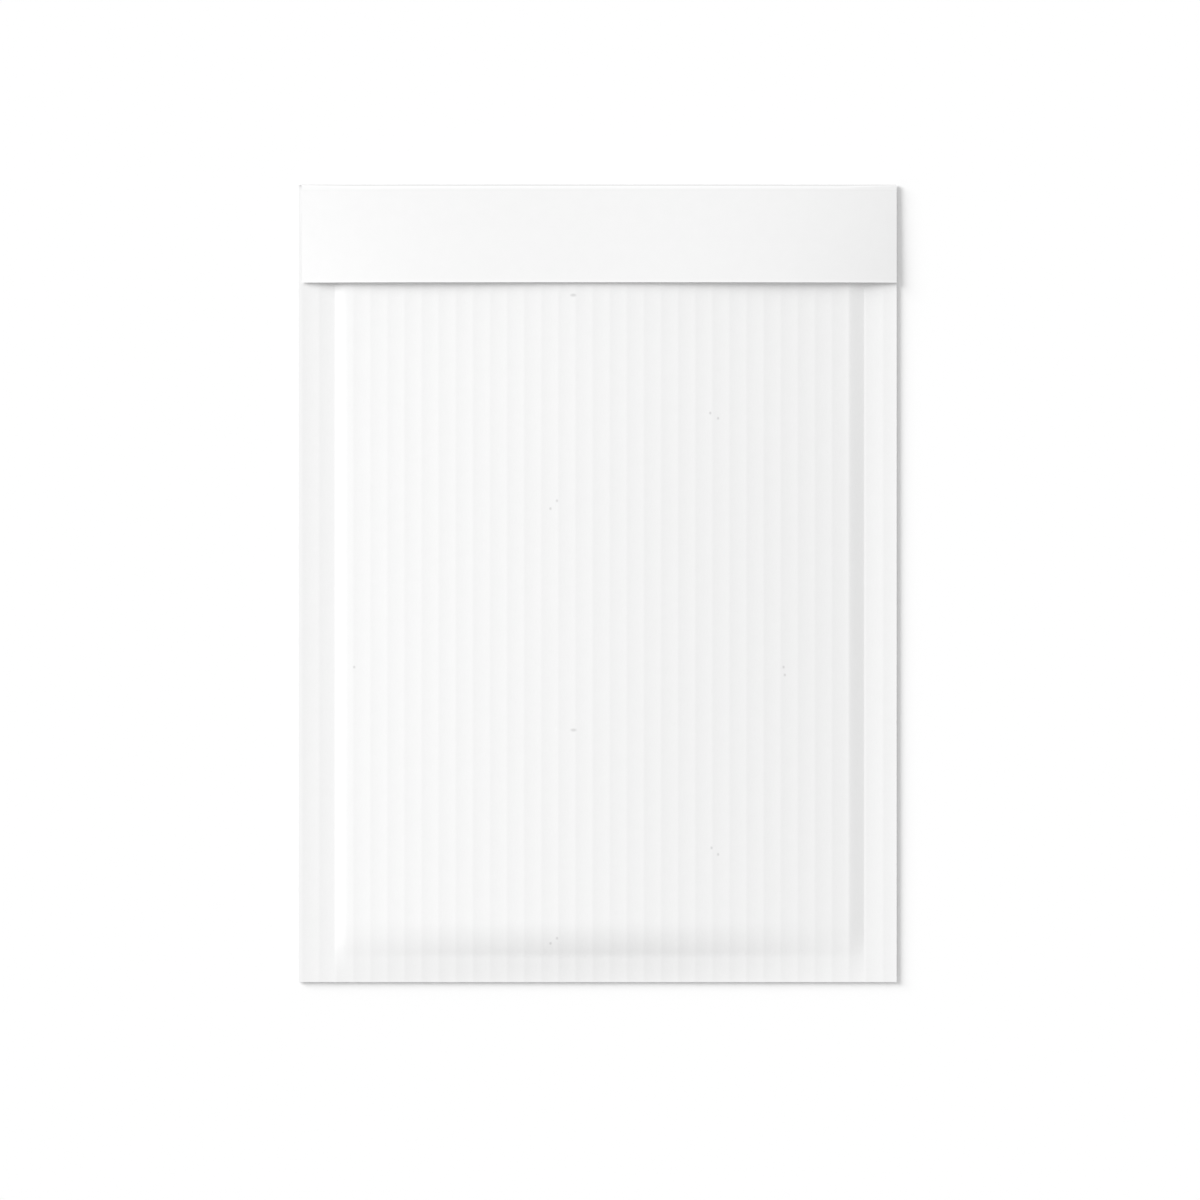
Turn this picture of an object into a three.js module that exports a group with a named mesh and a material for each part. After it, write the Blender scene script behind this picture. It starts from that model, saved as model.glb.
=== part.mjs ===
// A padded envelope for a 229 x 305 mm (9 x 12 in) mailing, closed and lying on its back.
// Millimetres, +Z up. X runs across the envelope, +Y is the folded flap end, and Z is its thickness.
// The origin is the middle of the area that it rests on.

import * as THREE from 'three';
import { mergeVertices } from 'three/addons/utils/BufferGeometryUtils.js';

// Outline
const width = 228.6;
const length = 304.8;

// Crushed seams down both sides, and the crushed strip along the bottom end
const leftSeam = 13.9;
const rightSeam = 12.5;
const seamThickness = 0.9;
const seamLift = 0.4; // how far the crushed rim hangs above the table
const bottomStrip = 8.2;

// Padding: a steep shoulder inside each seam, then a low dome across the front
const shoulderEnd = 19.05; // where both shoulders reach their top, in from the edge
const shoulderRise = 1.15;
const domeRise = 3.4;
const domePower = 1.8;
const bottomSlope = 15; // the length in which the padding falls to the bottom strip
const slopeFoot = 0.22; // the part of that slope in which it turns up out of the strip
const slopeStart = 0.3; // how steep the strip already is, next to the steepest place
const stripShare = 0.25; // the part of the whole rise which the bottom strip takes
const stripPower = 1.3; // above 1 the strip gets steeper on the way in
const slopeShare = 0.64; // the part of the whole rise which the slope takes
const restRun = 120; // the length in which the padding gains the rest
const topFall = 0.155; // the part which it loses again on the way to the flap
const fallRun = 80;
const bellyRun = 12; // how far inside the rim the back comes down to the table

// Flutes of the corrugated lining, showing through the front as ribs along Y
const ribCount = 35;
const ribHeight = 0.084;
const ribStart = 1.33; // the first crest, in from the left edge
const ribFall = 0.3; // in pitches: how soon a rib's right flank flattens out
const ribStops = [0, 0.15, 0.45, 0.8]; // crest, steep flank, valley and rise, in pitches

// Flap: the plain paper of the back, folded over the top end and stuck down on the front
const flapOverlap = 37.5;
const flapInset = 1.2; // on the left side only
const flapPaper = 0.3;
const flapRise = 4.3; // from the ends of the free edge to the middle of it
const flapPower = 3.3;
const flapFall = 0.265; // how much of that rise the flap loses on the way to the fold
const flapGap = 0.65; // under the ends of the free edge
const flapClosed = 0.12; // what is left of that gap at the fold
const slotDepth = 8; // from the free edge back to where the flap is stuck down
const foldRadius = 1.5;
const foldShare = 0.45; // the radius is never more than this part of the thickness there
const foldSteps = 3; // facets in each quarter turn of the fold

const halfWidth = width / 2;
const halfLength = length / 2;
const leftCrease = leftSeam - halfWidth;
const rightCrease = halfWidth - rightSeam;
const shoulderTop = halfWidth - shoulderEnd;
const seamTop = seamLift + seamThickness;
const ribPitch = width / ribCount;
const lipY = halfLength - flapOverlap;
const lipStop = length - flapOverlap; // the same place, from the bottom edge
const slotY = lipY + slotDepth;
const flapLeft = -halfWidth + flapInset;

// The shoulder starts at its full slope at the crease and rounds off at its top.
function shoulderEase(s) {
  return (5 * s - s ** 5) / 4;
}

// The bottom slope turns up quickly at its foot and then flattens out evenly into the padding.
function slopeEase(s) {
  const whole = slopeFoot * (1 + slopeStart) / 2 + (1 - slopeFoot) / 2;
  if (s < slopeFoot) return s * (slopeStart + (1 - slopeStart) * s / slopeFoot / 2) / whole;
  return 1 - (1 - s) ** 2 / (1 - slopeFoot) / 2 / whole;
}

// How far a place is inside the nearer crease
function insideCrease(x) {
  return Math.min(x - leftCrease, rightCrease - x);
}

// Height of the padding above the seams, across the envelope
function padAcross(x) {
  const inside = insideCrease(x);
  if (inside <= 0) return 0;
  const toTop = Math.max(Math.abs(x) - shoulderTop, 0);
  const shoulder = shoulderRise * shoulderEase(inside / (inside + toTop));
  const dome = domeRise * (1 - Math.min(Math.abs(x) / shoulderTop, 1) ** domePower);
  return shoulder + dome;
}

// Share of that height that is reached at a distance from the bottom edge
function padAlong(fromBottom) {
  if (fromBottom <= bottomStrip) return stripShare * (fromBottom / bottomStrip) ** stripPower;
  const fromStrip = fromBottom - bottomStrip;
  const sloped = stripShare + slopeShare * slopeEase(Math.min(fromStrip / bottomSlope, 1));
  const whole = sloped + (1 - sloped) * THREE.MathUtils.smoothstep(fromStrip, 0, restRun);
  return whole * (1 - topFall * THREE.MathUtils.smoothstep(fromBottom, lipStop - fallRun, lipStop));
}

// One flute leans: a steep flank to the right of its crest, then a long hollow rise to the next
function rib(x) {
  const turns = (x + halfWidth - ribStart) / ribPitch;
  const t = turns - Math.floor(turns);
  const fallen = Math.exp(-1 / ribFall);
  return ribHeight * (Math.exp(-t / ribFall) + (1 - fallen) * t ** 3);
}

function front(x, y) {
  return seamTop + padAcross(x) * padAlong(y + halfLength) + rib(x);
}

// The back is flat on the table, and lifts to the crushed rim at the sides and the bottom end.
function back(x, y) {
  const fromSide = THREE.MathUtils.smoothstep(insideCrease(x), 0, bellyRun);
  const fromBottom = THREE.MathUtils.smoothstep(y + halfLength - bottomStrip, 0, bellyRun);
  return seamLift * (1 - fromSide * fromBottom);
}

// The flap spans the hollow over each shoulder and comes down on the seams at its ends.
function flapTop(x, y) {
  const towardsFold = (y - lipY) / flapOverlap;
  const across = 1 - (Math.abs(x) / halfWidth) ** flapPower;
  const gap = flapGap + (flapClosed - flapGap) * towardsFold;
  return seamTop + gap + flapPaper + flapRise * across * (1 - flapFall * towardsFold);
}

// The fold is as round as the envelope is thick there: full in the middle, tight at the seams.
function foldRadiusAt(x) {
  const height = flapTop(x, halfLength) - back(x, halfLength);
  return Math.min(foldRadius, foldShare * height);
}

// Distances from the bottom edge at which the back and the front have a point
const backStops = [0, 4, bottomStrip, 12, 16, bottomStrip + bellyRun];
const fallStops = [0, 0.25, 0.5, 0.75, 1].map((part) => lipStop - part * fallRun);
const restStops = [1, 0.7, 0.4].map((part) => bottomStrip + part * restRun);
const slopeStops = [bottomStrip + bottomSlope, 19, 15.5, 11.5, 9.8, bottomStrip];
const frontStops = [...fallStops, ...restStops, ...slopeStops, 4, 0];

// Every outline below is a list of (y, z) points at one x, anticlockwise as seen from +X.

function backOutline(x) {
  const points = backStops.map((stop) => [stop - halfLength, back(x, stop - halfLength)]);
  points.push([halfLength - foldRadiusAt(x), back(x, halfLength)]);
  return points;
}

function frontOutline(x) {
  const points = [[slotY, front(x, slotY)]];
  for (const stop of frontStops) points.push([stop - halfLength, front(x, stop - halfLength)]);
  return points;
}

// Round the fold, along the flap to its free edge, and back under it to the foot of the slot
function flapOutline(x) {
  const radius = foldRadiusAt(x);
  const centreY = halfLength - radius;
  const quarter = Math.PI / 2;
  const points = [];
  for (let step = 1; step <= foldSteps; step++) {
    const angle = quarter * step / foldSteps;
    points.push([centreY + radius * Math.sin(angle), back(x, halfLength) + radius * (1 - Math.cos(angle))]);
  }
  for (let step = 0; step <= foldSteps; step++) {
    const angle = quarter * step / foldSteps;
    points.push([centreY + radius * Math.cos(angle), flapTop(x, centreY) - radius * (1 - Math.sin(angle))]);
  }
  points.push([lipY, flapTop(x, lipY)]);
  points.push([lipY, flapTop(x, lipY) - flapPaper]);
  points.push([slotY, flapTop(x, slotY) - flapPaper]);
  return points;
}

// The bare end of the seam, where the flap stops short of the left edge
function bareOutline(x) {
  const blunt = 0.3;
  const endY = halfLength - flapPaper;
  const top = front(x, halfLength);
  return [
    [endY, back(x, halfLength) + blunt],
    [endY, top - blunt],
    [endY - blunt, top],
  ];
}

function place(outline, x) {
  return outline.map(([y, z]) => new THREE.Vector3(x, y, z));
}

function flappedLoop(x) {
  return place([...backOutline(x), ...flapOutline(x), ...frontOutline(x)], x);
}

function bareLoop(x) {
  return place([...backOutline(x), ...bareOutline(x), ...frontOutline(x)], x);
}

// Joins two loops of equal length by a band of triangles that face out.
function band(corners, first, second) {
  first.forEach((point, i) => {
    const j = (i + 1) % first.length;
    corners.push(point, first[j], second[j]);
    corners.push(point, second[j], second[i]);
  });
}

// Closes an end with a flat face, to +X or to -X.
function cap(corners, loop, facesRight) {
  const flat = loop.map((point) => new THREE.Vector2(point.y, point.z));
  for (const [a, b, c] of THREE.ShapeUtils.triangulateShape(flat, [])) {
    if (facesRight) corners.push(loop[a], loop[b], loop[c]);
    else corners.push(loop[a], loop[c], loop[b]);
  }
}

// Places across the flap at which an outline is taken: its ends, the creases, and four for each rib
function crossings() {
  const least = 0.3;
  const fixed = [flapLeft, leftCrease, rightCrease, halfWidth];
  const found = [...fixed];
  for (let i = -1; i <= ribCount; i++) {
    for (const stop of ribStops) {
      const x = -halfWidth + ribStart + (i + stop) * ribPitch;
      const inside = x > flapLeft && x < halfWidth;
      if (inside && fixed.every((other) => Math.abs(other - x) > least)) found.push(x);
    }
  }
  return found.sort((a, b) => a - b);
}

function envelopeGeometry() {
  const corners = [];
  const loops = crossings().map(flappedLoop);
  for (let i = 1; i < loops.length; i++) band(corners, loops[i - 1], loops[i]);
  cap(corners, loops.at(-1), true);

  const leftEnd = bareLoop(-halfWidth);
  band(corners, leftEnd, bareLoop(flapLeft));
  cap(corners, leftEnd, false);

  // The cut end of the flap, standing on the bare strip
  const corner = backOutline(flapLeft).at(-1);
  const bare = [...bareOutline(flapLeft), frontOutline(flapLeft)[0]];
  cap(corners, place([corner, ...flapOutline(flapLeft), ...bare.reverse()], flapLeft), false);

  const positions = new Float32Array(corners.flatMap((point) => point.toArray()));
  const loose = new THREE.BufferGeometry();
  loose.setAttribute('position', new THREE.BufferAttribute(positions, 3));
  const geometry = mergeVertices(loose);
  geometry.computeVertexNormals();
  return geometry;
}

const paper = new THREE.MeshStandardMaterial({ color: 0xf3f3f3, roughness: 0.85, metalness: 0 });
const envelope = new THREE.Mesh(envelopeGeometry(), paper);
envelope.name = 'padded_envelope';

const group = new THREE.Group();
group.add(envelope);

export default group;
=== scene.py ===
import math

import bmesh
import bpy
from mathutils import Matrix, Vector, noise


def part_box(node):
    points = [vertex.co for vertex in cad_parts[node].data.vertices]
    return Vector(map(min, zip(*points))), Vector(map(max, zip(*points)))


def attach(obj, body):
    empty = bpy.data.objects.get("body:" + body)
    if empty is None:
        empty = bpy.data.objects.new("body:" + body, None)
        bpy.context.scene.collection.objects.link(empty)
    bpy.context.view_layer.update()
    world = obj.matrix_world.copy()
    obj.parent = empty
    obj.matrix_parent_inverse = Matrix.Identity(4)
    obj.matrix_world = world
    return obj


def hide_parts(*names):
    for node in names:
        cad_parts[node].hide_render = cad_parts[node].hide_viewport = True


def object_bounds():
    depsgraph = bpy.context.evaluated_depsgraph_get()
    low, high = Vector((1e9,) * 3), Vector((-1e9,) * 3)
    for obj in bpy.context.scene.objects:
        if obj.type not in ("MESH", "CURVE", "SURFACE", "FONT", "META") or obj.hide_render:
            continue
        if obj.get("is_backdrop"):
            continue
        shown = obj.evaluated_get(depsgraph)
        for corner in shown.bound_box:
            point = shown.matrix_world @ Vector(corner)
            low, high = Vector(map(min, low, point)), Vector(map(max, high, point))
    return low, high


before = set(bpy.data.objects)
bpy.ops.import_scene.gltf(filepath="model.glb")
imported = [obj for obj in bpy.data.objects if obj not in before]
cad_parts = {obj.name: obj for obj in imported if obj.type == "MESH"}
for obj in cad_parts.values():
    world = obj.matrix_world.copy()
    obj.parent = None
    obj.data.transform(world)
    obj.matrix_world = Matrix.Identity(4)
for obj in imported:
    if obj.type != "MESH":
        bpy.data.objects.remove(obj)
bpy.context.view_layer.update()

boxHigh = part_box("padded_envelope")[1]
mm = 0.001  # shapes are worked out in millimetres and placed in metres


def smooth(start, end, value):  # 0 before start, 1 after end, eased between
    t = min(max((value - start) / (end - start), 0), 1)
    return t * t * (3 - 2 * t)


def drift(x, y, size, seed):  # slow random change, from -1 to 1
    return noise.noise(Vector((x / size, y / size, seed)))


def spread(start, end, steps):
    return [start + (end - start) * i / steps for i in range(steps + 1)]


def spreadThrough(stops, steps):  # from each stop to the next, in as many steps as it is given
    found = [stops[0]]
    for start, end, count in zip(stops, stops[1:], steps):
        found += spread(start, end, count)[1:]
    return found


# The closed envelope's form. Both walls and the flap are laid on these surfaces.
outline = {
    "halfWidth": boxHigh[0] / mm,
    "halfLength": boxHigh[1] / mm,
    "leftSeam": 13.9,  # crushed flat down both sides
    "rightSeam": 12.5,
    "bottomStrip": 8.2,  # crushed flat across the bottom end
    "seamLift": 0.4,  # the rim hangs clear of the table
    "seamThickness": 0.9,
    "mouthFromFold": 1.7,  # the front and the lining end here, inside the fold
}
halfWidth, halfLength = outline["halfWidth"], outline["halfLength"]
leftCrease, rightCrease = outline["leftSeam"] - halfWidth, halfWidth - outline["rightSeam"]
seamTop = outline["seamLift"] + outline["seamThickness"]
mouthY = halfLength - outline["mouthFromFold"]

padding = {
    "shoulderEnd": 19.05,  # steep from each side seam to here, in from the edge
    "shoulderRise": 1.15,
    "domeRise": 3.4,
    "domePower": 1.8,
    "bottomSlope": 15.0,
    "slopeFoot": 0.22,  # of that slope, where it turns up out of the strip
    "slopeStart": 0.3,  # how steep the strip already is, next to the steepest place
    "stripShare": 0.25,  # of the whole rise, taken by the bottom strip
    "stripPower": 1.3,  # above 1 the strip gets steeper on the way in
    "slopeShare": 0.64,  # of the whole rise, taken by the slope
    "restRun": 120.0,  # the rest is taken over this, too gently to see
    "topFall": 0.155,  # of the rise, lost again on the way to the flap
    "fallRun": 80.0,
    "bellyRun": 12.0,  # the back comes down to the table over this
}
shoulderTop = halfWidth - padding["shoulderEnd"]

flutes = {
    "count": 35,
    "height": 0.084,
    "start": 1.33,  # first crest, in from the left edge
    "steepRun": 0.3,  # in pitches: how soon a flute's right flank flattens out
    "crestWidth": 0.14,  # in pitches, rounded
    "crestSamples": 8,  # places in that width whose mean rounds it
    "uneven": 0.18,  # of their height, changing along each flute and from one to the next
    "unevenSize": 55.0,
    "unevenApart": 40.0,  # far enough for neighbouring flutes to change on their own
    "unevenSeed": 3,
    "backLevel": 1.2,  # in heights: the back's crests point down from here, clear of the table
    "backFade": 1.5,  # they end over this length, where the lining ends
}
pitch = 2 * halfWidth / flutes["count"]

flap = {
    "overlap": 37.5,
    "inset": 1.2,  # on the left side only
    "paper": 0.2,
    "rise": 4.3,  # from the ends of its free edge to the middle of it
    "power": 3.3,
    "fall": 0.265,  # of its rise, lost on the way to the fold
    "gap": 0.65,  # under the ends of the free edge
    "closed": 0.12,  # what is left of that gap at the fold
    "comesUpFrom": 1.0,  # the front starts to come up to the flap this far behind its edge
    "glueFrom": 8.0,  # and is stuck to it from here on
    "glue": 0.05,  # between the two
    "foldRadius": 1.5,
    "foldSlack": 0.02,  # kept between the fold's two quarter turns
    "roundOff": 0.2,  # between the fold and the crease
    "creaseAt": 2.15,  # pressed line beside the fold
    "creaseRun": 0.2,  # half its width
    "bulge": 0.045,  # the fold springs up this much beyond the crease
    "burr": 0.09,  # the cut edge is turned up a hair
    "burrRun": 0.45,
}
lipY = halfLength - flap["overlap"]

walls = {
    "thickness": 2.6,  # paper and fluting of one side
    "waviness": 0.1,  # of the line where they meet, from the crushed flutes
    "meetingPart": 3,  # they meet one part in three of the way up the padding
    "gap": 0.02,  # from that line to either wall
    "flare": 0.15,  # the gap opens by this much at the cut edges
    "flareRun": 0.5,
}


def slopeEase(s):  # turns up quickly at its foot, then flattens out evenly
    foot, start = padding["slopeFoot"], padding["slopeStart"]
    whole = foot * (1 + start) / 2 + (1 - foot) / 2
    if s < foot:
        return s * (start + (1 - start) * s / foot / 2) / whole
    return 1 - (1 - s) ** 2 / (1 - foot) / 2 / whole


def insideCrease(x):  # distance from the nearer side crease, less than 0 on the seams
    return min(x - leftCrease, rightCrease - x)


def padAcross(x):  # height of the padding above the seams: a steep shoulder, then a low dome
    inside = insideCrease(x)
    if inside <= 0:
        return 0.0
    s = min(inside / (inside + max(abs(x) - shoulderTop, 0)), 1)
    shoulder = padding["shoulderRise"] * (5 * s - s ** 5) / 4
    dome = padding["domeRise"] * (1 - min(abs(x) / shoulderTop, 1) ** padding["domePower"])
    return shoulder + dome


def padAlong(y):  # share of that height which it reaches at y
    fromStrip = y + halfLength - outline["bottomStrip"]
    share = padding["stripShare"]
    if fromStrip < 0:
        share *= (1 + fromStrip / outline["bottomStrip"]) ** padding["stripPower"]
    else:
        share += padding["slopeShare"] * slopeEase(min(fromStrip / padding["bottomSlope"], 1))
        share += (1 - share) * smooth(0, padding["restRun"], fromStrip)
    return share * (1 - padding["topFall"] * smooth(lipY - padding["fallRun"], lipY, y))


def padHeight(x, y):
    return padAcross(x) * padAlong(y)


def leaning(t):  # one flute: a steep flank right of its crest, then a long hollow rise to the next
    drop = math.exp(-1 / flutes["steepRun"])
    return math.exp(-t / flutes["steepRun"]) + (1 - drop) * t ** 3


def fluteHeight(x, y):  # what the flutes add to a sheet, with rounded crests
    turns = (x + halfWidth - flutes["start"]) / pitch
    width, samples = flutes["crestWidth"], flutes["crestSamples"]
    spots = [turns + width * ((i + 0.5) / samples - 0.5) for i in range(samples)]
    mean = sum(leaning(spot % 1) for spot in spots) / samples
    own = round(turns) * flutes["unevenApart"]
    change = drift(own, y, flutes["unevenSize"], flutes["unevenSeed"])
    return flutes["height"] * (1 + flutes["uneven"] * change) * mean


def flapOuter(x, y):
    towardsFold = (y - lipY) / flap["overlap"]
    fromFold = halfLength - y
    rise = flap["rise"] * (1 - (abs(x) / halfWidth) ** flap["power"])
    rise *= 1 - flap["fall"] * towardsFold
    rise += flap["gap"] + (flap["closed"] - flap["gap"]) * towardsFold
    rise += flap["burr"] * math.exp((lipY - y) / flap["burrRun"])
    crease, run = flap["creaseAt"], flap["creaseRun"]
    rise += flap["bulge"] * smooth(crease + run, crease - run, fromFold)
    rise -= flap["roundOff"] * max(0.0, 1 - fromFold / crease)
    return seamTop + flap["paper"] + rise


def frontOuter(x, y):  # comes up to the flap behind its free edge, except on the seams
    height = seamTop + padHeight(x, y) + fluteHeight(x, y)
    stuck = smooth(0, padding["shoulderEnd"] - outline["leftSeam"], insideCrease(x))
    stuck *= smooth(lipY + flap["comesUpFrom"], lipY + flap["glueFrom"], y)
    if stuck == 0:
        return height
    return height + stuck * (flapOuter(x, y) - flap["paper"] - flap["glue"] - height)


def backOuter(x, y):
    fromSide = smooth(0, padding["bellyRun"], insideCrease(x))
    fromBottom = smooth(0, padding["bellyRun"], y + halfLength - outline["bottomStrip"])
    lined = 1 - smooth(mouthY - flutes["backFade"], mouthY, y)
    hollow = (flutes["backLevel"] * flutes["height"] - fluteHeight(x, y)) * lined
    return outline["seamLift"] * (1 - fromSide * fromBottom) + hollow


def parting(x, y):  # where the two walls meet
    crushed = walls["waviness"] * math.cos(math.tau * (x + halfWidth) / pitch)
    middle = outline["seamLift"] + outline["seamThickness"] / 2
    return middle + crushed + padHeight(x, y) / walls["meetingPart"]


def opening(x, y):  # from there to either wall
    fromEdge = min(halfWidth - abs(x), y + halfLength)
    return walls["gap"] + walls["flare"] * max(0.0, 1 - fromEdge / walls["flareRun"])


def frontInner(x, y):
    return max(parting(x, y) + opening(x, y), frontOuter(x, y) - walls["thickness"])


def backInner(x, y):
    return min(parting(x, y) - opening(x, y), backOuter(x, y) + walls["thickness"])


# A sheet starts as a grid of as many columns and rows as it has stations. One extrusion closes it
# into a slab, whose two faces are then laid on the sheet's outer and inner surface.
stations = {
    "besideEdge": 0.5,
    "besideCrease": 0.25,
    "least": 0.2,  # a flute's own stations keep this far from those
    "sharpAngle": 35.0,  # degrees: a turn of the sheet beyond this is shaded as an edge
}


def columnsFor(stops):  # the same stops in every flute, and lines beside the edges and creases
    edge, crease = halfWidth - stations["besideEdge"], stations["besideCrease"]
    fixed = [-halfWidth, -edge, edge, halfWidth]
    fixed += [line + aside for line in (leftCrease, rightCrease) for aside in (-crease, 0, crease)]
    found = list(fixed)
    for i in range(-1, flutes["count"] + 1):
        for stop in stops:
            x = -halfWidth + flutes["start"] + (i + stop) * pitch
            nearest = min(abs(x - other) for other in fixed)
            if abs(x) < halfWidth and nearest > stations["least"]:
                found.append(x)
    return sorted(found)


def putInOrder(parts):  # an extrusion makes its edges and faces in another order each time
    ordered = sorted(parts, key=lambda part: sorted(vert.index for vert in part.verts))
    rank = {part: place for place, part in enumerate(ordered)}
    parts.sort(key=lambda part: rank[part])


def makeSheet(name, columns, rows, outer, inner):
    mesh = bmesh.new()
    across, along = len(columns) - 1, len(rows) - 1
    bmesh.ops.create_grid(mesh, x_segments=across, y_segments=along, size=0.5)  # 1 m square
    made = bmesh.ops.extrude_face_region(mesh, geom=mesh.faces[:], use_keep_orig=True)
    upper = {part for part in made["geom"] if isinstance(part, bmesh.types.BMVert)}
    for vert in mesh.verts:
        x = columns[round((vert.co.x + 0.5) * across)]
        row = rows[round((vert.co.y + 0.5) * along)]
        vert.co = Vector(outer(x, row) if vert in upper else inner(x, row)) * mm
    mesh.verts.index_update()
    putInOrder(mesh.edges)
    putInOrder(mesh.faces)
    bmesh.ops.recalc_face_normals(mesh, faces=mesh.faces[:])
    for face in mesh.faces:
        face.smooth = True
    for edge in mesh.edges:
        edge.smooth = edge.calc_face_angle(0) < math.radians(stations["sharpAngle"])
    data = bpy.data.meshes.new(name)
    mesh.to_mesh(data)
    mesh.free()
    piece = bpy.data.objects.new(name, data)
    bpy.context.collection.objects.link(piece)
    return piece


frontSheet = {
    "name": "ribbed_front",
    "fluteStops": [0, 0.035, 0.07, 0.12, 0.19, 0.29, 0.42, 0.57, 0.72, 0.85, 0.93, 0.965],
    "rowStops": [-halfLength, 0.5 - halfLength, 1.2 - halfLength, 26 - halfLength,
                 lipY - 6, mouthY],
    "rowSteps": [1, 1, 28, 36, 12],  # closest over the bottom slope
}
ribbedFront = makeSheet(
    frontSheet["name"],
    columnsFor(frontSheet["fluteStops"]),
    spreadThrough(frontSheet["rowStops"], frontSheet["rowSteps"]),
    lambda x, y: (x, y, frontOuter(x, y)),
    lambda x, y: (x, y, frontInner(x, y)),
)
print("ribbed front made")

backSheet = {
    "name": "back_and_flap",
    "fluteStops": [0, 0.12, 0.3, 0.5, 0.7, 0.88],
    "linedStops": [-halfLength, 0.5 - halfLength, 3 - halfLength, 24 - halfLength,
                   32 - halfLength, mouthY - 4, mouthY - 1.5, mouthY],
    "linedSteps": [1, 1, 12, 1, 30, 1, 3],
    "liningEnd": 0.05,  # the step from lined to bare paper takes this much
    "foldSteps": 20,
    "drawnIn": (0.2, 0.9),  # in turns of the fold: the left edge draws in by the inset here
    "flapStops": [halfLength - 1.8, halfLength - 2.9, halfLength - 4,
                  lipY + 1.2, lipY + 0.9, lipY],
    "flapSteps": [9, 1, 14, 1, 4],  # closest at the crease and at the free edge
}


def foldPoint(x, turn, depth):  # turn goes from 0 on the back to 1 on the flap
    low, high = backOuter(x, halfLength), flapOuter(x, halfLength - flap["foldRadius"])
    radius = min(flap["foldRadius"], (high - low) / 2 - flap["foldSlack"])
    angle = math.pi * (turn if turn < 0.5 else 1 - turn)
    y = halfLength - radius + (radius - depth) * math.sin(angle)
    rise = radius - (radius - depth) * math.cos(angle)
    return y, low + rise if turn < 0.5 else high - rise


def webPoint(x, row, isInside):  # along the back, round the fold and down the flap
    part, place = row
    depth = flap["paper"] if isInside else 0
    aside = flap["inset"] * (halfWidth - x) / (2 * halfWidth)
    if part == "lined":
        return x, place, backInner(x, place) if isInside else backOuter(x, place)
    if part == "bare":
        return x, place, backOuter(x, place) + depth
    if part == "fold":
        y, z = foldPoint(x, place, depth)
        return x + aside * smooth(*backSheet["drawnIn"], place), y, z
    return x + aside, place, flapOuter(x, place) - depth


foldRows = spread(0, 0.5, backSheet["foldSteps"] // 2)
foldRows += [1 - turn for turn in reversed(foldRows)]
webRows = [("lined", y) for y in spreadThrough(backSheet["linedStops"], backSheet["linedSteps"])]
webRows += [("bare", mouthY + backSheet["liningEnd"])] + [("fold", turn) for turn in foldRows]
webRows += [("flap", y) for y in spreadThrough(backSheet["flapStops"], backSheet["flapSteps"])]
backAndFlap = makeSheet(
    backSheet["name"],
    columnsFor(backSheet["fluteStops"]),
    webRows,
    lambda x, row: webPoint(x, row, False),
    lambda x, row: webPoint(x, row, True),
)
print("back and flap made")

for piece in (ribbedFront, backAndFlap):
    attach(piece, "root")
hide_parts("padded_envelope")


def linear(hexColour):  # sRGB hex to linear RGBA
    channels = [int(hexColour[i:i + 2], 16) / 255 for i in (0, 2, 4)]
    return [c / 12.92 if c <= 0.04045 else ((c + 0.055) / 1.055) ** 2.4 for c in channels] + [1]


def addNode(tree, kind, settings=None, links=None):
    node = tree.nodes.new(kind)
    for key, value in (settings or {}).items():
        if isinstance(key, int) or key in node.inputs:
            node.inputs[key].default_value = value
        else:
            setattr(node, key, value)
    for key, source in (links or {}).items():
        tree.links.new(source, node.inputs[key])
    return node


# Bleached kraft, machine-finished and uncoated: matt, faintly cloudy, with fibres that lie mostly
# along the web. Painted shade: it is painted grey where it faces +Y, along the outermost line of
# the fold.
kraft = {
    "name": "bleachedKraftPaper",
    "colour": "F1F1F1",
    "cloudColour": "EEEEEE",
    "roughness": (0.78, 0.9),
    "ior": 1.5,
    "specular": 0.2,  # its fibres scatter most of what a smooth sheet would reflect
    "cloudSize": 5.0,  # mm, the paper's formation
    "fibreWidth": 0.25,  # mm, ten times a real fibre's, so that it shows
    "fibreLength": 1.8,  # mm
    "relief": 0.012,  # mm
    "paintedShadeFacing": (0.4, 0.6),  # painted shade where it faces +Y by more than this
    # colour of that painted shade along the fold
    "paintedShadeColour": "D2D2D2",
}

# Handling has left a few faint grey specks and two soft scuffs, placed in mm from the middle.
marks = {
    "specks": [(-18, 28.5), (-15.5, 31.5), (43, 65), (46, 63), (71, -32), (71.5, -35),
               (43.5, -101), (46, -103.5), (-18, -137.5), (-15.5, -135.5), (-93, -32)],
    "scuffs": [(-9.3, 110), (-9.2, -56)],
    "speckSize": (0.7, 0.85),  # from the middle to the rim, across and along
    "scuffSize": (1.7, 0.9),
    "fadeFrom": 0.2,  # of the way to the rim
    "strength": 0.55,
    "colour": "C4C4C4",
}


def addMarks(tree, inMm):  # how strongly the paper is marked at each place
    spots = [(x, y, marks["speckSize"]) for x, y in marks["specks"]]
    spots += [(x, y, marks["scuffSize"]) for x, y in marks["scuffs"]]
    found = []
    for x, y, (wide, tall) in spots:
        centred = addNode(
            tree, "ShaderNodeMapping",
            {"vector_type": "POINT", "Location": (-x / wide, -y / tall, 0),
             "Scale": (1 / wide, 1 / tall, 0)},
            {"Vector": inMm.outputs[0]},
        )
        fromMiddle = addNode(  # 1 at the rim
            tree, "ShaderNodeVectorMath", {"operation": "LENGTH"}, {0: centred.outputs[0]},
        )
        found.append(addNode(
            tree, "ShaderNodeMapRange",
            {"interpolation_type": "SMOOTHSTEP", "From Min": marks["fadeFrom"], "From Max": 1.0,
             "To Min": marks["strength"], "To Max": 0.0},
            {"Value": fromMiddle.outputs["Value"]},
        ))
    strongest = found[0]
    for mark in found[1:]:
        strongest = addNode(
            tree, "ShaderNodeMath", {"operation": "MAXIMUM"},
            {0: strongest.outputs[0], 1: mark.outputs[0]},
        )
    return strongest


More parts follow.
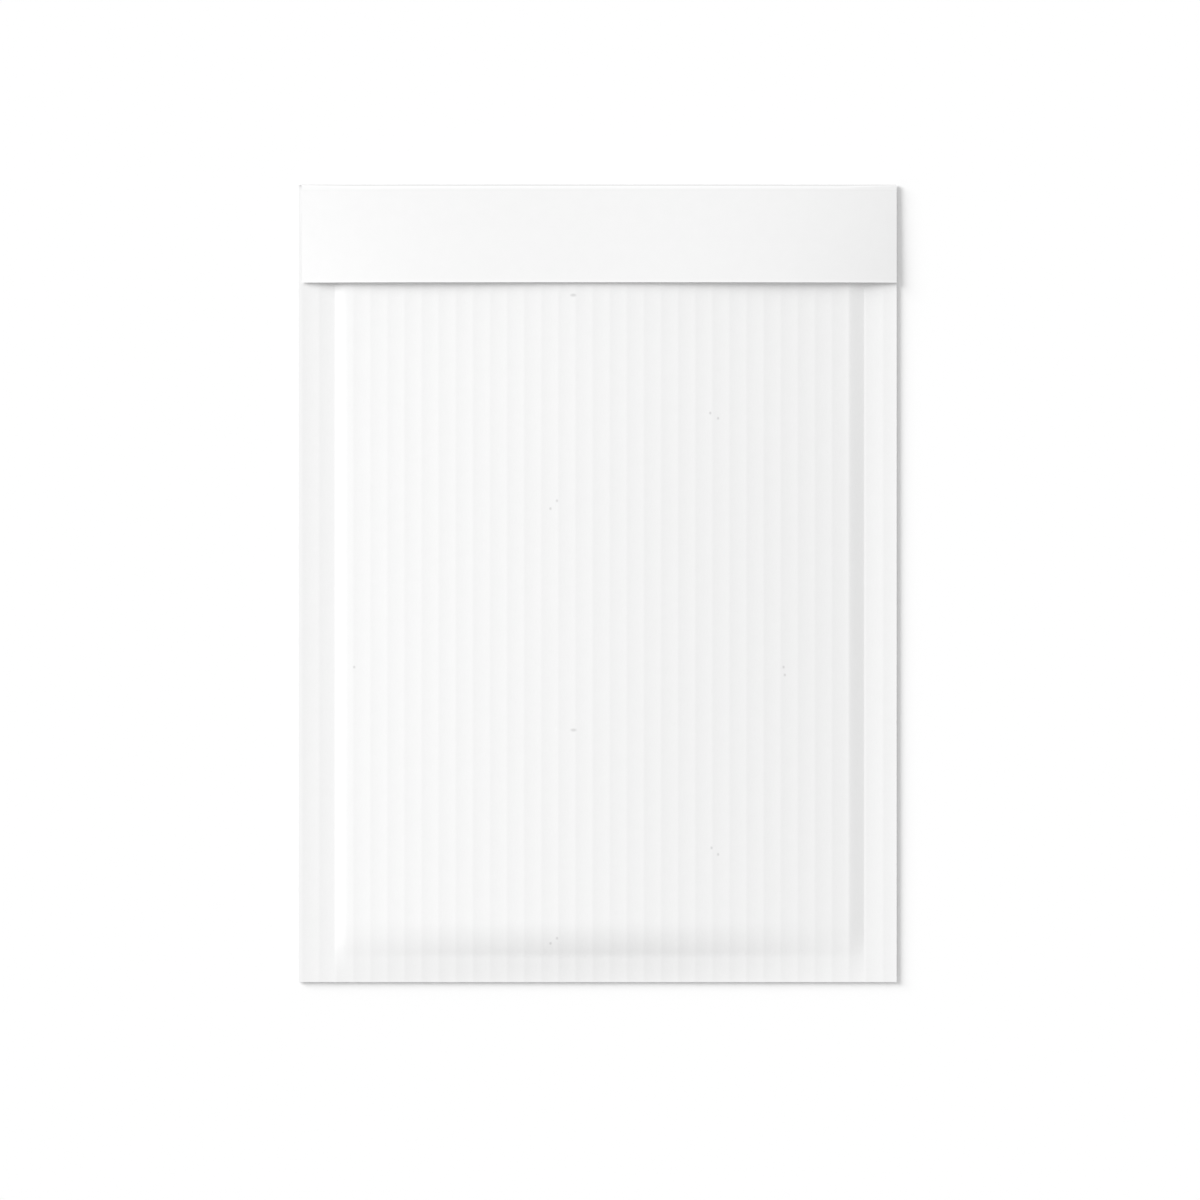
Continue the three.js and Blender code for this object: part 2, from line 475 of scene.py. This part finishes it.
def makeKraft():
    material = bpy.data.materials.new(kraft["name"])
    material.use_nodes = True
    tree = material.node_tree
    tree.nodes.clear()
    place = addNode(tree, "ShaderNodeTexCoord")
    inMm = addNode(
        tree, "ShaderNodeMapping", {"Scale": (1 / mm,) * 3}, {"Vector": place.outputs["Object"]},
    )
    cloud = addNode(
        tree, "ShaderNodeTexNoise",
        {"Scale": 1 / kraft["cloudSize"], "Detail": 4, "Roughness": 0.6},
        {"Vector": inMm.outputs[0]},
    )
    stretched = addNode(
        tree, "ShaderNodeMapping",
        {"Scale": (1 / kraft["fibreWidth"], 1 / kraft["fibreLength"], 1 / kraft["fibreWidth"])},
        {"Vector": inMm.outputs[0]},
    )
    fibre = addNode(
        tree, "ShaderNodeTexNoise",
        {"Scale": 1, "Detail": 3, "Roughness": 0.55, "Distortion": 0.6},
        {"Vector": stretched.outputs[0]},
    )
    clouded = addNode(
        tree, "ShaderNodeMix",
        {"data_type": "RGBA", "A": linear(kraft["colour"]), "B": linear(kraft["cloudColour"])},
        {"Factor": cloud.outputs[0]},
    )
    marked = addNode(
        tree, "ShaderNodeMix",
        {"data_type": "RGBA", "B": linear(marks["colour"])},
        {"Factor": addMarks(tree, inMm).outputs[0], "A": clouded.outputs["Result"]},
    )
    # painted shade: grey on the faces turned towards +Y, the fold's outermost line
    facing = addNode(tree, "ShaderNodeSeparateXYZ", links={"Vector": place.outputs["Normal"]})
    paintedShadeMask = addNode(
        tree, "ShaderNodeMapRange",
        {"From Min": kraft["paintedShadeFacing"][0], "From Max": kraft["paintedShadeFacing"][1]},
        {"Value": facing.outputs["Y"]},
    )
    withPaintedShade = addNode(
        tree, "ShaderNodeMix",
        {"data_type": "RGBA", "B": linear(kraft["paintedShadeColour"])},
        {"Factor": paintedShadeMask.outputs[0], "A": marked.outputs["Result"]},
    )
    dullness = addNode(
        tree, "ShaderNodeMapRange",
        {"To Min": kraft["roughness"][0], "To Max": kraft["roughness"][1]},
        {"Value": fibre.outputs[0]},
    )
    bump = addNode(
        tree, "ShaderNodeBump",
        {"Strength": 1, "Distance": kraft["relief"] * mm},
        {"Height": fibre.outputs[0]},
    )
    paper = addNode(
        tree, "ShaderNodeBsdfPrincipled",
        {"IOR": kraft["ior"], "Specular IOR Level": kraft["specular"]},
        {"Base Color": withPaintedShade.outputs["Result"], "Roughness": dullness.outputs[0],
         "Normal": bump.outputs[0]},
    )
    addNode(tree, "ShaderNodeOutputMaterial", links={"Surface": paper.outputs[0]})
    return material


kraftPaper = makeKraft()
for piece in (ribbedFront, backAndFlap):
    piece.data.materials.append(kraftPaper)
print("paper finished")

# Plain pale floor, one wide soft lamp low on the upper left, and an even sky.
studio = {
    "floorColour": "FAFAFA",
    "floorSize": 40.0,  # m
    "skyStrength": 0.622,
    "horizonStrength": 1.01,
    "horizonPower": 10.0,  # a higher power keeps the glow closer to the horizon
    "lampShare": 0.42,  # on the floor, as much light as an even sky of this strength
    "lampFromUpright": 65.0,  # degrees
    "lampAround": 30.0,  # degrees from -X towards +Y
    "lampSpread": 36.0,  # degrees across, as soft as a window
    "lampDistance": 2.0,  # m, only for its place in the viewport: its light is parallel
}


def makeFloor():
    mesh = bmesh.new()
    bmesh.ops.create_grid(mesh, x_segments=1, y_segments=1, size=studio["floorSize"] / 2)
    data = bpy.data.meshes.new("floor")
    mesh.to_mesh(data)
    mesh.free()
    floor = bpy.data.objects.new("floor", data)
    bpy.context.collection.objects.link(floor)
    floor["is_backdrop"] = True
    paint = bpy.data.materials.new("plainPaint")  # rolled on, with no gloss: only shadows show
    paint.use_nodes = True
    sockets = paint.node_tree.nodes["Principled BSDF"].inputs
    sockets["Base Color"].default_value = linear(studio["floorColour"])
    sockets["Roughness"].default_value = 1
    sockets["Specular IOR Level"].default_value = 0
    data.materials.append(paint)


def makeSky():  # even overhead, and brightest at the horizon
    sky = bpy.data.worlds.new("sky")
    sky.use_nodes = True
    tree = sky.node_tree
    direction = addNode(tree, "ShaderNodeTexCoord")
    parts = addNode(
        tree, "ShaderNodeSeparateXYZ", links={"Vector": direction.outputs["Generated"]},
    )
    height = addNode(tree, "ShaderNodeMath", {"operation": "ABSOLUTE"}, {0: parts.outputs["Z"]})
    low = addNode(
        tree, "ShaderNodeMath", {"operation": "SUBTRACT", 0: 1.0}, {1: height.outputs[0]},
    )
    glow = addNode(
        tree, "ShaderNodeMath", {"operation": "POWER", 1: studio["horizonPower"]},
        {0: low.outputs[0]},
    )
    level = addNode(
        tree, "ShaderNodeMapRange",
        {"To Min": studio["skyStrength"], "To Max": studio["horizonStrength"]},
        {"Value": glow.outputs[0]},
    )
    background = tree.nodes["Background"]
    background.inputs["Color"].default_value = (1, 1, 1, 1)
    tree.links.new(level.outputs[0], background.inputs["Strength"])
    bpy.context.scene.world = sky


def makeLamp():
    upright, around = math.radians(studio["lampFromUpright"]), math.radians(studio["lampAround"])
    level = Vector((-math.cos(around), math.sin(around), 0))
    towards = level * math.sin(upright) + Vector((0, 0, math.cos(upright)))
    data = bpy.data.lights.new("softLamp", "SUN")
    data.angle = math.radians(studio["lampSpread"])
    data.energy = studio["lampShare"] * math.pi / math.cos(upright)
    lamp = bpy.data.objects.new("softLamp", data)
    lamp.location = towards * studio["lampDistance"]
    lamp.rotation_euler = towards.to_track_quat("Z", "Y").to_euler()
    bpy.context.collection.objects.link(lamp)


makeFloor()
makeSky()
makeLamp()
print("studio set")

camera = {
    "lens": 250.0,  # mm, long enough to look almost straight down on every part
    "sensor": 36.0,  # mm
    "framed": 1.5047,  # side of the view, in lengths of the envelope
    "above": 0.0139,  # the envelope stands this much above the middle, in sides of the view
    "aside": 0.00198,  # and this much to the left of it
    "clip": 100.0,  # m
}


def makeCamera():  # straight above, framed at the height of the seams
    low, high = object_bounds()
    side = camera["framed"] * (high.y - low.y)
    data = bpy.data.cameras.new("camera")
    data.lens = camera["lens"]
    data.sensor_width = camera["sensor"]
    data.clip_end = camera["clip"]
    eye = bpy.data.objects.new("camera", data)
    eye.location = (
        (low.x + high.x) / 2 + camera["aside"] * side,
        (low.y + high.y) / 2 - camera["above"] * side,
        seamTop * mm + side * camera["lens"] / camera["sensor"],
    )
    bpy.context.collection.objects.link(eye)
    bpy.context.scene.camera = eye


makeCamera()
bpy.context.scene.view_settings.view_transform = "Standard"
print("camera placed")
